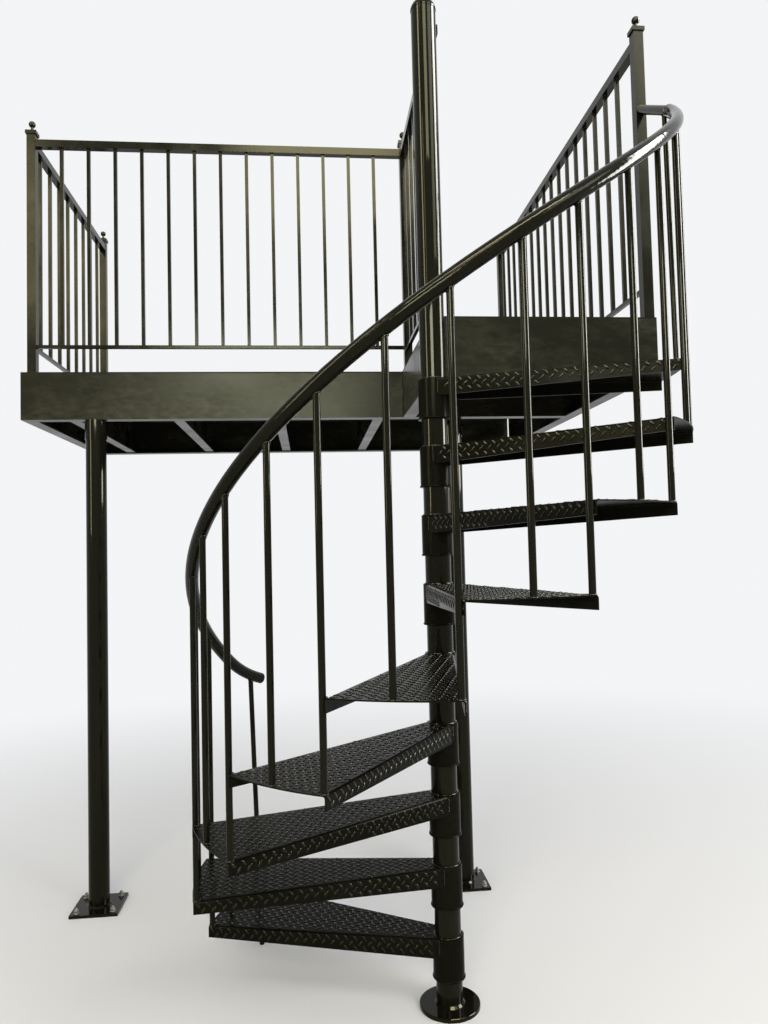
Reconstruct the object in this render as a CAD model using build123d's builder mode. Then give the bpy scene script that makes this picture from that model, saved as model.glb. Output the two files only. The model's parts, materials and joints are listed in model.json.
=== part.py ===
from build123d import *
from math import acos, asin, cos, degrees, radians, sin, sqrt
import os

# Exterior spiral stair of welded, black painted steel, with nine pan treads that climb
# counter-clockwise round a pipe column to an L-shaped balcony along a wall.
# Frame: millimetres, +Z up, the origin on the column's axis at the ground, +Y towards the
# wall and +X along it. The treads start at the column's left and turn past the front.

# Stair: rise, turn and overall radius
tread_count = 9
stair_radius = 838.0
riser_height = 236.5
first_nosing_angle = 144.0
tread_turn = 24.08
full_turn = 360.0

# Gaps between pieces: left for a weld, and between faces that bear on each other
weld_gap = 0.3
face_gap = 0.1

# How far a shape that cuts reaches past what it cuts
cut_overrun = 40.0

# Column, its base plate and its domed cap
pipe_diameter = 88.9
pipe_wall = 5.5
base_plate_diameter = 204.0
base_plate_thickness = 13.0
base_plate_bevel = 1.5
base_weld_leg = 7.0
column_above_guard = 29.0
cap_skirt_height = 6.0
cap_skirt_overhang = 1.2
cap_dome_height = 38.0
cap_plate = 4.0

# Tread pans, folded from plate, each welded to a sleeve on the column
tread_plate = 4.0
tread_bend_radius = 10.0
flange_depth_at_hub = 63.0
flange_depth_at_rim = 37.5
hub_diameter = 106.0
hub_height = 140.0
hub_bead_radius = 3.2
hub_bead_sink = 0.5
pan_side_offset = 47.0
flange_heel_radius = 12.0

# Balusters and handrail of the stair
baluster_diameter = 19.0
baluster_edge_margin = 1.0
handrail_diameter = 42.2
handrail_wall = 3.6
handrail_above_nosing = 787.0
handrail_ease_bearing = 155.0
handrail_foot_bearing = 141.4
handrail_foot_lift = 38.0
handrail_head_bearing = 346.0
handrail_head_plate = 4.0
first_baluster_setback = 66.0
rail_tie_diameter = 33.4
rail_tie_wall = 3.4

# Balcony: an L made of channels under a plate deck
balcony_left = -1703.0
balcony_front = 888.0
landing_left = 6.0
landing_right = stair_radius
landing_front = 27.0
wall_face = 2165.0
deck_thickness = 6.4
channel_depth = 208.0
channel_flange = 57.0
channel_web = 6.5
channel_flange_thickness = 9.0
channel_root_radius = 7.0
fascia_thickness = 8.0
fascia_depth = 248.6
fascia_notch_clearance = 6.0
joist_depth = 203.0
joist_flange = 48.0
joist_pitch = 462.0
joist_count = 4
joist_first = -1515.0

# Pipe posts under the front channel
post_left_x = -1390.0
post_right_x = 240.0
post_setback = 42.0
post_sleeve_diameter = 95.0
post_sleeve_height = 86.0
post_foot_side = 203.0
post_foot_thickness = 12.7
post_anchor_pitch = 152.0
post_anchor_hole = 14.3

# Guard rails of square tube and bar
guard_post_side = 38.1
guard_post_wall = 3.2
rail_tube = 33.0
rail_tube_wall = 3.0
rail_top_above_deck = 1067.0
bottom_rail_clear = 112.0
bar_side = 15.0
front_post_inset = 7.0
left_post_inset = 26.0
corner_post_inset = 14.0
landing_post_setback = 15.0
wall_post_setback = 28.0
front_first_bay = 129.0
front_bar_pitch = 118.7
left_first_bay = 101.0
left_bar_pitch = 138.8
right_first_bay = 190.0
right_bar_pitch = 120.5
landing_side_bays = 7
post_above_rail = 25.0
post_cap_side = 48.0
post_cap_skirt = 15.0
post_cap_rise = 10.0
finial_diameter = 30.0
finial_neck_diameter = 12.0
finial_neck_height = 11.0
finial_sink = 1.0

# Sizes worked out from the ones above
pipe_radius = pipe_diameter / 2
hub_radius = hub_diameter / 2
baluster_radius = baluster_diameter / 2
handrail_radius = handrail_diameter / 2
deck_top = (tread_count + 1) * riser_height
deck_underside = deck_top - deck_thickness
channel_bottom = deck_underside - channel_depth
guard_top = deck_top + rail_top_above_deck
column_height = guard_top + column_above_guard
rise_per_degree = riser_height / tread_turn
baluster_circle = stair_radius - baluster_radius - baluster_edge_margin
tie_reach = pan_side_offset + baluster_radius + weld_gap
tie_offset = degrees(acos(pan_side_offset / stair_radius) - acos(tie_reach / baluster_circle))


def nosing_angle(step):
    """Bearing of a tread's lower edge; the step above starts where this one ends."""
    return first_nosing_angle + (step - 1) * tread_turn


def handrail_height(angle):
    """Height of the handrail's centre line at a bearing."""
    return riser_height + handrail_above_nosing + (angle - first_nosing_angle) * rise_per_degree


def on_circle(radius, angle, height):
    return (radius * cos(radians(angle)), radius * sin(radians(angle)), height)


def finish(part, label):
    part.label = label
    export_step(part, "parts/" + label + ".step")


os.makedirs("parts", exist_ok=True)

# Base plate, a plain disc that the pipe is welded to
with BuildPart() as base_plate:
    with BuildSketch():
        Circle(base_plate_diameter / 2)
    extrude(amount=base_plate_thickness)
    chamfer(base_plate.edges().group_by(Axis.Z)[-1], base_plate_bevel)
finish(base_plate.part, "base_plate")

# Column pipe, with the fillet weld round its foot
with BuildPart() as center_column:
    with BuildSketch(Plane.XZ):
        with BuildLine():
            foot = base_plate_thickness
            Polyline(
                (pipe_radius - pipe_wall, foot),
                (pipe_radius + base_weld_leg, foot),
                (pipe_radius, foot + base_weld_leg),
                (pipe_radius, column_height),
                (pipe_radius - pipe_wall, column_height),
                close=True,
            )
        make_face()
    revolve(axis=Axis.Z)
finish(center_column.part, "center_column")

# Domed cap on the column's top, pressed from plate
with BuildPart() as column_cap:
    cap_radius = pipe_radius + cap_skirt_overhang
    dome_foot = column_height + cap_skirt_height
    dome_top = dome_foot + cap_dome_height
    with BuildSketch(Plane.XZ):
        with BuildLine():
            Line((0, dome_top - cap_plate), (0, dome_top))
            TangentArc((0, dome_top), (cap_radius, dome_foot), tangent=(1, 0))
            Polyline(
                (cap_radius, dome_foot),
                (cap_radius, column_height),
                (cap_radius - cap_plate, column_height),
                (cap_radius - cap_plate, dome_foot),
            )
            TangentArc((0, dome_top - cap_plate), (cap_radius - cap_plate, dome_foot), tangent=(1, 0))
        make_face()
    revolve(axis=Axis.Z)
finish(column_cap.part, "column_cap")


# Treads: a pan folded from plate, open at its rounded outer end, whose tapering side flanges end
# on the sleeve that wraps the column
def make_tread(step):
    top = step * riser_height
    half = tread_turn / 2
    lie = Plane(origin=(0, 0, top), x_dir=on_circle(1, nosing_angle(step) + half, 0), z_dir=(0, 0, 1))
    # each side passes the axis at a set distance, from its heel on the sleeve to the rim
    slant = radians(half) - asin(pan_side_offset / stair_radius)
    heel_run = sqrt(hub_radius**2 - pan_side_offset**2)
    heel_x = heel_run * cos(slant) - pan_side_offset * sin(slant)
    heel_y = heel_run * sin(slant) + pan_side_offset * cos(slant)
    rim_x = stair_radius * cos(radians(half))
    rim_y = stair_radius * sin(radians(half))
    side_slope = (rim_y - heel_y) / (rim_x - heel_x)

    # hollow of the pan, open below and at the rim
    beyond = stair_radius + cut_overrun
    near = heel_y - tread_plate / cos(slant)
    far = near + side_slope * (beyond - heel_x)
    with BuildPart() as hollow:
        with BuildSketch(lie.offset(-flange_depth_at_hub)):
            with BuildLine():
                Polyline(
                    (heel_x, -near),
                    (beyond, -far),
                    (beyond, far),
                    (heel_x, near),
                    close=True,
                )
            make_face()
        extrude(amount=flange_depth_at_hub - tread_plate)
        ceiling = hollow.edges().filter_by(lambda e: abs(e.center().Z - top + tread_plate) < 0.01)
        fillet(ceiling.sort_by(Edge.length)[-2:], tread_bend_radius - tread_plate)

    with BuildPart() as tread:
        with BuildSketch(lie):
            with BuildLine():
                Line((heel_x, -heel_y), (rim_x, -rim_y))
                ThreePointArc((rim_x, -rim_y), (stair_radius, 0), (rim_x, rim_y))
                Line((rim_x, rim_y), (heel_x, heel_y))
                Line((heel_x, heel_y), (heel_x, -heel_y))
            make_face()
        extrude(amount=-flange_depth_at_hub)
        long_edges = tread.edges().filter_by(lambda e: abs(e.center().Z - top) < 0.01)
        long_edges = long_edges.filter_by(GeomType.LINE).sort_by(Edge.length)[-2:]
        fillet(long_edges, tread_bend_radius)
        add(hollow.part, mode=Mode.SUBTRACT)
        # the flanges get shallower towards the rim, and their lower corner at the heel is rounded
        side_view = Plane(origin=lie.origin, x_dir=lie.x_dir, z_dir=-lie.y_dir)
        with BuildSketch(side_view) as profile:
            with BuildLine():
                Polyline(
                    (heel_x, 0),
                    (stair_radius, 0),
                    (stair_radius, -flange_depth_at_rim),
                    (heel_x, -flange_depth_at_hub),
                    close=True,
                )
            make_face()
            fillet(profile.vertices().group_by(Axis.Y)[0], flange_heel_radius)
        extrude(amount=stair_radius, both=True, mode=Mode.INTERSECT)
        # the sleeve, with a bead of weld round its lower end
        with BuildSketch(lie):
            Circle(hub_radius)
        extrude(amount=-hub_height)
        with BuildSketch(Plane(origin=lie.origin, x_dir=(1, 0, 0), z_dir=(0, -1, 0))):
            with Locations((hub_radius - hub_bead_sink, -hub_height + hub_bead_radius)):
                Circle(hub_bead_radius)
        revolve(axis=Axis.Z)
        with BuildSketch(lie):
            Circle(pipe_radius + weld_gap)
        extrude(amount=-hub_height, mode=Mode.SUBTRACT)
    return tread.part


for step in range(1, tread_count + 1):
    finish(make_tread(step), "tread_" + str(step))

# Handrail: round tube on a helix over the balusters. Its lower end eases out of the helix in an
# arc, its upper end is closed by a disc, and a thinner pipe runs on from there to the landing's post
with BuildLine() as climb:
    Helix(
        pitch=full_turn * rise_per_degree,
        height=(handrail_head_bearing - handrail_ease_bearing) * rise_per_degree,
        radius=baluster_circle,
        center=(0, 0, handrail_height(handrail_ease_bearing)),
    )
rail_climb = climb.line.rotate(Axis.Z, handrail_ease_bearing)
rail_foot_height = handrail_height(handrail_foot_bearing) + handrail_foot_lift
with BuildLine() as ease:
    TangentArc(
        rail_climb @ 0,
        on_circle(baluster_circle, handrail_foot_bearing, rail_foot_height),
        tangent=-(rail_climb % 0),
    )
rail_ease = ease.edges()[0]

landing_post_front = landing_front + landing_post_setback
guard_right_x = landing_right - guard_post_side / 2
tie_end = Vector(guard_right_x, landing_post_front - weld_gap, deck_top + handrail_above_nosing)
tie_run = tie_end - rail_climb @ 1
tie_start = tie_end - tie_run * (1 + handrail_head_plate / tie_run.length)
with BuildPart() as rail_tie:
    with BuildSketch(Plane(origin=tie_start, z_dir=tie_run)):
        Circle(rail_tie_diameter / 2)
        Circle(rail_tie_diameter / 2 - rail_tie_wall, mode=Mode.SUBTRACT)
    extrude(amount=tie_run.length + cut_overrun)
    # cut square to the front face of the post
    split(bisect_by=Plane.XZ.offset(-tie_end.Y), keep=Keep.TOP)

with BuildPart() as handrail:
    with BuildSketch(Plane(origin=rail_climb @ 0, z_dir=rail_climb % 0)):
        Circle(handrail_radius)
        Circle(handrail_radius - handrail_wall, mode=Mode.SUBTRACT)
    sweep(path=rail_climb, is_frenet=True)
    with BuildSketch(Plane(origin=rail_ease @ 0, z_dir=rail_ease % 0)):
        Circle(handrail_radius)
        Circle(handrail_radius - handrail_wall, mode=Mode.SUBTRACT)
    sweep(path=rail_ease)
    with BuildSketch(Plane(origin=rail_climb @ 1, z_dir=rail_climb % 1)):
        Circle(handrail_radius)
    extrude(amount=-handrail_head_plate)
    add(rail_tie.part)
finish(handrail.part, "handrail")


# Balusters: round bars that stand on a tread's rim and reach the handrail, with coped tops
def make_baluster(foot, head, rail_run, rail_radius):
    """Bar from foot to head, a point on the rail's centre line where the rail runs along rail_run."""
    lean = head - foot
    with BuildPart() as baluster:
        with BuildSketch(Plane(origin=foot, z_dir=lean).offset(-baluster_diameter)):
            Circle(baluster_radius)
        extrude(amount=lean.length + baluster_diameter)
        split(bisect_by=Plane.XY.offset(foot.Z), keep=Keep.TOP)
        with BuildSketch(Plane(origin=head, z_dir=rail_run)):
            Circle(rail_radius + weld_gap)
        extrude(amount=cut_overrun, both=True, mode=Mode.SUBTRACT)
    return baluster.part


def make_upright(bearing, foot_height):
    """Upright bar below the handrail's helix at a bearing."""
    along = (bearing - handrail_ease_bearing) / (handrail_head_bearing - handrail_ease_bearing)
    foot = Vector(*on_circle(baluster_circle, bearing, foot_height))
    return make_baluster(foot, rail_climb @ along, rail_climb % along, handrail_radius)


# the first one leans a little: it runs past the first tread's edge down to the ground
head_place = 1 - first_baluster_setback / rail_ease.length
first_head = rail_ease @ head_place
first_tie = Vector(*on_circle(baluster_circle, nosing_angle(1) - tie_offset, riser_height))
first_foot = first_tie + (first_tie - first_head) * (riser_height / (first_head.Z - riser_height))
finish(make_baluster(first_foot, first_head, rail_ease % head_place, handrail_radius), "first_baluster")

# each tread but the last has one at the middle of its rim and one that ties it to the tread above
for step in range(1, tread_count):
    with BuildPart() as step_balusters:
        add(make_upright(nosing_angle(step) + tread_turn / 2, step * riser_height))
        add(make_upright(nosing_angle(step + 1) - tie_offset, step * riser_height))
    finish(step_balusters.part, "balusters_" + str(step))

# the last tread has one, which ends below the thinner pipe
last_bearing = nosing_angle(tread_count) + tread_turn / 2
last_foot = Vector(*on_circle(baluster_circle, last_bearing, tread_count * riser_height))
last_head = rail_climb @ 1 + tie_run * ((last_foot.Y - (rail_climb @ 1).Y) / tie_run.Y)
finish(make_baluster(last_foot, last_head, tie_run, rail_tie_diameter / 2), "last_baluster")


# Deck plates, flush with the faces of the channels below them
with BuildPart() as balcony_deck:
    with BuildSketch(Plane.XY.offset(deck_underside)):
        with Locations((balcony_left, balcony_front)):
            Rectangle(landing_left - balcony_left, wall_face - balcony_front, align=(Align.MIN, Align.MIN))
    extrude(amount=deck_thickness)
finish(balcony_deck.part, "balcony_deck")

with BuildPart() as landing_deck:
    with BuildSketch(Plane.XY.offset(deck_underside)):
        with Locations((landing_left, landing_front)):
            Rectangle(landing_right - landing_left, wall_face - landing_front, align=(Align.MIN, Align.MIN))
        Circle(pipe_radius + weld_gap, mode=Mode.SUBTRACT)
    extrude(amount=deck_thickness)
finish(landing_deck.part, "landing_deck")


# Channels: a flat web outside and two flanges turned inward
def make_channel(start, end, inward, depth, flange):
    """Channel from start to end, with the outer face of its web on that line."""
    length = sqrt((end[0] - start[0]) ** 2 + (end[1] - start[1]) ** 2)
    along = ((end[0] - start[0]) / length, (end[1] - start[1]) / length, 0)
    top = deck_underside - face_gap
    with BuildPart() as channel:
        with BuildSketch(Plane(origin=(start[0], start[1], top), x_dir=inward, z_dir=along)) as profile:
            up = 1 if profile.workplanes[0].y_dir.Z > 0 else -1
            with BuildLine():
                Polyline(
                    (0, 0),
                    (flange, 0),
                    (flange, -up * channel_flange_thickness),
                    (channel_web, -up * channel_flange_thickness),
                    (channel_web, -up * (depth - channel_flange_thickness)),
                    (flange, -up * (depth - channel_flange_thickness)),
                    (flange, -up * depth),
                    (0, -up * depth),
                    close=True,
                )
            make_face()
            roots = profile.vertices().filter_by(lambda v: abs(v.X - channel_web) < 0.01)
            fillet(roots, channel_root_radius)
        extrude(amount=length)
    return channel.part


front_beam = make_channel(
    (balcony_left, balcony_front), (landing_right, balcony_front), (0, 1, 0), channel_depth, channel_flange
)
finish(front_beam, "front_beam")
ledger_front = wall_face - channel_flange
wall_ledger = make_channel(
    (balcony_left, wall_face), (landing_right, wall_face), (0, -1, 0), channel_depth, channel_flange
)
finish(wall_ledger, "wall_ledger")
side_start = balcony_front + channel_flange + face_gap
side_end = ledger_front - face_gap
left_beam = make_channel(
    (balcony_left, side_start), (balcony_left, side_end), (1, 0, 0), channel_depth, channel_flange
)
finish(left_beam, "left_end_beam")
right_beam = make_channel(
    (landing_right, side_start), (landing_right, side_end), (-1, 0, 0), channel_depth, channel_flange
)
finish(right_beam, "right_rear_beam")
fascia_back = landing_front + fascia_thickness
right_front = make_channel(
    (landing_right, fascia_back + face_gap),
    (landing_right, balcony_front - face_gap),
    (-1, 0, 0),
    channel_depth,
    channel_flange,
)
finish(right_front, "right_front_beam")
with BuildPart() as landing_side:
    add(
        make_channel(
            (landing_left, fascia_back + face_gap),
            (landing_left, balcony_front - face_gap),
            (1, 0, 0),
            channel_depth,
            channel_flange,
        )
    )
    with BuildSketch(Plane.XY.offset(channel_bottom - channel_flange)):
        Circle(pipe_radius + weld_gap)
    extrude(amount=channel_depth + 2 * channel_flange, mode=Mode.SUBTRACT)
finish(landing_side.part, "landing_side_beam")

# Front fascia of the landing, the last riser, notched over the last tread's sleeve end
with BuildPart() as landing_fascia:
    fascia_left = sqrt((pipe_radius + weld_gap) ** 2 - landing_front**2)
    fascia_bottom = deck_underside - fascia_depth
    notch_top = tread_count * riser_height + weld_gap
    # where the last tread's upper edge comes out in front of the fascia
    edge_bearing = radians(nosing_angle(tread_count + 1)) + acos(pan_side_offset / stair_radius)
    crossing = (pan_side_offset - sin(edge_bearing) * (landing_front - weld_gap)) / cos(edge_bearing)
    notch_end = crossing + fascia_notch_clearance
    with BuildSketch(Plane.XZ.offset(-landing_front)):
        with BuildLine():
            Polyline(
                (fascia_left, deck_underside - face_gap),
                (landing_right, deck_underside - face_gap),
                (landing_right, fascia_bottom),
                (notch_end, fascia_bottom),
                (notch_end, notch_top),
                (fascia_left, notch_top),
                close=True,
            )
        make_face()
    extrude(amount=-fascia_thickness)
finish(landing_fascia.part, "landing_fascia")

# Joists of the balcony, channels that span from the front channel to the ledger
with BuildPart() as joists:
    for index in range(joist_count):
        joist_x = joist_first + index * joist_pitch
        add(make_channel((joist_x, side_start), (joist_x, side_end), (1, 0, 0), joist_depth, joist_flange))
finish(joists.part, "joists")


# Pipe posts under the front channel, each with a short sleeve at its top and a weld at its foot
post_y = balcony_front + post_setback
post_top = channel_bottom - face_gap
post_plan = Plane((0, post_y, 0))


def make_support_post(post_x):
    foot = Plane((post_x, post_y, post_foot_thickness))
    height = post_top - post_foot_thickness
    with BuildPart() as post:
        with BuildSketch(foot):
            Circle(pipe_radius)
        extrude(amount=height)
        with BuildSketch(foot):
            Circle(pipe_radius + base_weld_leg)
        extrude(amount=base_weld_leg, taper=45)
        with BuildSketch(foot.offset(height - post_sleeve_height)):
            Circle(post_sleeve_diameter / 2)
        extrude(amount=post_sleeve_height)
        with BuildSketch(foot):
            Circle(pipe_radius - pipe_wall)
        extrude(amount=height, mode=Mode.SUBTRACT)
    return post.part


finish(make_support_post(post_left_x), "support_post_left")
finish(make_support_post(post_right_x), "support_post_right")

# Square foot plates of the posts, each with its anchor holes
with BuildPart() as foot_plates:
    with BuildSketch(post_plan):
        with Locations((post_left_x, 0), (post_right_x, 0)):
            Rectangle(post_foot_side, post_foot_side)
            with GridLocations(post_anchor_pitch, post_anchor_pitch, 2, 2):
                Circle(post_anchor_hole / 2, mode=Mode.SUBTRACT)
    extrude(amount=post_foot_thickness)
finish(foot_plates.part, "post_foot_plates")

# Guard posts: square tube with a pyramid cap and a ball
guard_left_x = balcony_left + left_post_inset + guard_post_side / 2
guard_corner_x = landing_left + corner_post_inset + guard_post_side / 2
guard_front_y = balcony_front + front_post_inset + guard_post_side / 2
guard_landing_y = landing_post_front + guard_post_side / 2
guard_wall_y = wall_face - wall_post_setback


def make_guard_post(post_x, post_y):
    foot = Plane(origin=(post_x, post_y, deck_top), z_dir=(0, 0, 1))
    cap_foot = rail_top_above_deck + post_above_rail
    pyramid_foot = cap_foot + post_cap_skirt
    neck_foot = pyramid_foot + post_cap_rise
    ball_center = deck_top + neck_foot + finial_neck_height + finial_diameter / 2 - finial_sink
    bore = guard_post_side - 2 * guard_post_wall
    with BuildPart() as post:
        with BuildSketch(foot):
            Rectangle(guard_post_side, guard_post_side)
            Rectangle(bore, bore, mode=Mode.SUBTRACT)
        extrude(amount=cap_foot)
        with BuildSketch(foot.offset(cap_foot)):
            Rectangle(post_cap_side, post_cap_side)
        extrude(amount=post_cap_skirt)
        with BuildSketch(foot.offset(pyramid_foot)):
            Rectangle(post_cap_side, post_cap_side)
        with BuildSketch(foot.offset(neck_foot)):
            Rectangle(finial_neck_diameter, finial_neck_diameter)
        loft()
        with BuildSketch(foot.offset(neck_foot)):
            Circle(finial_neck_diameter / 2)
        extrude(amount=finial_neck_height)
        with Locations((post_x, post_y, ball_center)):
            Sphere(finial_diameter / 2)
    return post.part


guard_posts = {
    "guard_post_front_left": (guard_left_x, guard_front_y),
    "guard_post_wall_left": (guard_left_x, guard_wall_y),
    "guard_post_corner": (guard_corner_x, guard_front_y),
    "guard_post_landing": (guard_right_x, guard_landing_y),
    "guard_post_wall_right": (guard_right_x, guard_wall_y),
}
for name, place in guard_posts.items():
    finish(make_guard_post(*place), name)


# Guard panels: a square top tube and a bottom bar with square bars between them
def make_guard_panel(start, end, bar_distances):
    """Panel from start to end in plan, with a bar at each distance from start."""
    length = sqrt((end[0] - start[0]) ** 2 + (end[1] - start[1]) ** 2)
    along = ((end[0] - start[0]) / length, (end[1] - start[1]) / length, 0)
    across = (-along[1], along[0], 0)
    tube_center = guard_top - rail_tube / 2
    bottom_center = deck_top + bottom_rail_clear + bar_side / 2
    bar_foot = deck_top + bottom_rail_clear + bar_side
    bore = rail_tube - 2 * rail_tube_wall
    with BuildPart() as panel:
        with BuildSketch(Plane(origin=(start[0], start[1], tube_center), x_dir=across, z_dir=along)):
            Rectangle(rail_tube, rail_tube)
            Rectangle(bore, bore, mode=Mode.SUBTRACT)
        extrude(amount=length)
        with BuildSketch(Plane(origin=(start[0], start[1], bottom_center), x_dir=across, z_dir=along)):
            Rectangle(bar_side, bar_side)
        extrude(amount=length)
        with BuildSketch(Plane(origin=(start[0], start[1], bar_foot), x_dir=along, z_dir=(0, 0, 1))):
            with Locations([(distance, 0) for distance in bar_distances]):
                Rectangle(bar_side, bar_side)
        extrude(amount=guard_top - rail_tube - bar_foot)
    return panel.part


post_half = guard_post_side / 2 + face_gap


def spaced_bars(span, first_bay, pitch):
    """Distances of bars at one pitch after a first bay, between posts whose centres are a span apart."""
    count = int((span - first_bay - pitch / 2) / pitch) + 1
    return [first_bay + pitch * index - post_half for index in range(count)]


finish(
    make_guard_panel(
        (guard_left_x + post_half, guard_front_y),
        (guard_corner_x - post_half, guard_front_y),
        spaced_bars(guard_corner_x - guard_left_x, front_first_bay, front_bar_pitch),
    ),
    "guard_panel_front",
)
finish(
    make_guard_panel(
        (guard_left_x, guard_front_y + post_half),
        (guard_left_x, guard_wall_y - post_half),
        spaced_bars(guard_wall_y - guard_front_y, left_first_bay, left_bar_pitch),
    ),
    "guard_panel_left",
)
finish(
    make_guard_panel(
        (guard_right_x, guard_landing_y + post_half),
        (guard_right_x, guard_wall_y - post_half),
        spaced_bars(guard_wall_y - guard_landing_y, right_first_bay, right_bar_pitch),
    ),
    "guard_panel_right",
)

# the panel beside the landing is welded to the column, so its bars divide the span from there evenly
side_pitch = (guard_front_y - pipe_radius) / landing_side_bays
with BuildPart() as landing_side_panel:
    add(
        make_guard_panel(
            (guard_corner_x, guard_front_y - post_half),
            (guard_corner_x, pipe_radius / 2),
            [side_pitch * index - post_half for index in range(1, landing_side_bays)],
        )
    )
    with BuildSketch(Plane.XY.offset(deck_top)):
        Circle(pipe_radius + weld_gap)
    extrude(amount=rail_top_above_deck, mode=Mode.SUBTRACT)
finish(landing_side_panel.part, "guard_panel_landing_side")
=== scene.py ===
"""Dresses the steel spiral stair and its balcony: raised lugs of the floor plate, welds, anchor nuts,
black enamel on every piece, and a plain studio. All sizes are metres in the model's own frame."""

import json
import math

import bpy
import numpy as np
from bpy.props import FloatProperty, FloatVectorProperty, PointerProperty
from mathutils import Matrix, Vector


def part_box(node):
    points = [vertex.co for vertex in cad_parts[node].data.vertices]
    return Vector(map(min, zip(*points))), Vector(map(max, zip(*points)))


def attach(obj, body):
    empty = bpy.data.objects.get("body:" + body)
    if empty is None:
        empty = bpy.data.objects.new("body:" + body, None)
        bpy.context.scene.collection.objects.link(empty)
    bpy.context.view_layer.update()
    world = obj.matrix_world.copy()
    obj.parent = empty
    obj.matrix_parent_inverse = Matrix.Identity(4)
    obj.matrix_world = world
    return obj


bl_info = {
    "name": "Spiral Stair Finish",
    "version": (1, 0, 0),
    "blender": (4, 5, 0),
    "location": "View3D > Sidebar > Stair",
    "description": "Adds floor plate lugs, welds, anchor nuts and enamel to a steel spiral stair",
    "category": "Add Mesh",
}

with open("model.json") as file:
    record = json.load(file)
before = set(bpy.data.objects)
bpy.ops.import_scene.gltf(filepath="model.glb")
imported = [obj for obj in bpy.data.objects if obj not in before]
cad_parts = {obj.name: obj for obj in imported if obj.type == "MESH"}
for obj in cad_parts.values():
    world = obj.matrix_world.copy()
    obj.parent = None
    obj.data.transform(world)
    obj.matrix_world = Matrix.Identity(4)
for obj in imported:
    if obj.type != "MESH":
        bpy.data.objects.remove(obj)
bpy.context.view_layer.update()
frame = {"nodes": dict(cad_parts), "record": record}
# Heights of the treads' tops, from the lowest one up, and of the decks' top
TREAD_TOPS = sorted(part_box(node)[1].z for node in frame["nodes"] if node.startswith("tread_"))
DECK_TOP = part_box("landing_deck")[1].z


class StairSizes(bpy.types.PropertyGroup):
    """Plan of the stair, which the added pieces follow."""

    first_bearing: FloatProperty(
        name="First nosing", description="Bearing of the lowest tread's nosing", default=math.radians(144.0),
        unit="ROTATION",
    )
    turn: FloatProperty(
        name="Turn", description="Angle from one tread to the next", default=math.radians(24.08),
        unit="ROTATION",
    )
    radius: FloatProperty(
        name="Radius", description="Outer radius of the treads", default=0.838, unit="LENGTH"
    )
    hub_radius: FloatProperty(
        name="Sleeve radius", description="Outer radius of a tread's sleeve", default=0.053, unit="LENGTH"
    )
    side_offset: FloatProperty(
        name="Side offset", description="Distance at which a tread's side line passes the column's axis",
        default=0.047, unit="LENGTH",
    )
    pipe_radius: FloatProperty(
        name="Pipe radius", description="Outer radius of the column", default=0.04445, unit="LENGTH"
    )
    flange_at_hub: FloatProperty(
        name="Flange at sleeve", description="Depth of a tread's flange at the sleeve", default=0.063,
        unit="LENGTH",
    )
    flange_at_rim: FloatProperty(
        name="Flange at rim", description="Depth of a tread's flange at the rim", default=0.0375,
        unit="LENGTH",
    )
    bar_radius: FloatProperty(
        name="Bar radius", description="Radius of a baluster", default=0.0095, unit="LENGTH"
    )
    bar_circle: FloatProperty(
        name="Bar circle", description="Radius of the circle that the balusters stand on", default=0.8275,
        unit="LENGTH",
    )
    tie_offset: FloatProperty(
        name="Tie offset", description="Angle from a nosing back to its tie bar", default=math.radians(0.721),
        unit="ROTATION",
    )
    rail_radius: FloatProperty(
        name="Rail radius", description="Outer radius of the handrail", default=0.0211, unit="LENGTH"
    )
    rail_rise: FloatProperty(
        name="Rail height", description="Height of the handrail's centre over a nosing", default=0.787,
        unit="LENGTH",
    )
    foot_slope: FloatProperty(
        name="Foot slope", description="Slope of the handrail over the first baluster",
        default=math.radians(22.6), unit="ROTATION",
    )
    head_bearing: FloatProperty(
        name="Rail head", description="Bearing of the handrail's upper end", default=math.radians(346.0),
        unit="ROTATION",
    )
    pipe_tie_radius: FloatProperty(
        name="Tie radius", description="Radius of the thin pipe that ends the handrail", default=0.0167,
        unit="LENGTH",
    )


class PlateSizes(bpy.types.PropertyGroup):
    """Raised pattern of the floor plate."""

    lug_length: FloatProperty(
        name="Lug length", description="Length of a lug, from tip to tip", default=0.024, unit="LENGTH"
    )
    lug_width: FloatProperty(
        name="Lug width", description="Width of a lug at its middle", default=0.0080, unit="LENGTH"
    )
    lug_height: FloatProperty(
        name="Lug height", description="Height of a lug over the plate", default=0.0020, unit="LENGTH"
    )
    pitch: FloatProperty(
        name="Pitch", description="Distance between lugs of one slant in a row", default=0.032, unit="LENGTH"
    )
    margin: FloatProperty(
        name="Margin", description="Least distance from a lug's centre to an edge", default=0.009,
        unit="LENGTH",
    )
    bend: FloatProperty(
        name="Bend", description="Radius of the bend between a tread's top and its flange", default=0.010,
        unit="LENGTH",
    )


class WeldSizes(bpy.types.PropertyGroup):
    """Weld beads and anchor nuts."""

    bead: FloatProperty(
        name="Bead", description="Radius of the thickest weld bead", default=0.0032, unit="LENGTH"
    )
    spot: FloatProperty(
        name="Spot", description="Radius of the weld spots where a bar is tied to a tread", default=0.0048,
        unit="LENGTH",
    )
    ripple: FloatProperty(
        name="Ripple", description="Height of the ripples in a weld", default=0.0012, unit="LENGTH"
    )
    nut_width: FloatProperty(
        name="Nut", description="Width across a nut's flats", default=0.0190, unit="LENGTH"
    )
    anchor_pitch: FloatProperty(
        name="Anchor pitch", description="Distance between a foot's anchors", default=0.152, unit="LENGTH"
    )


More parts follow.
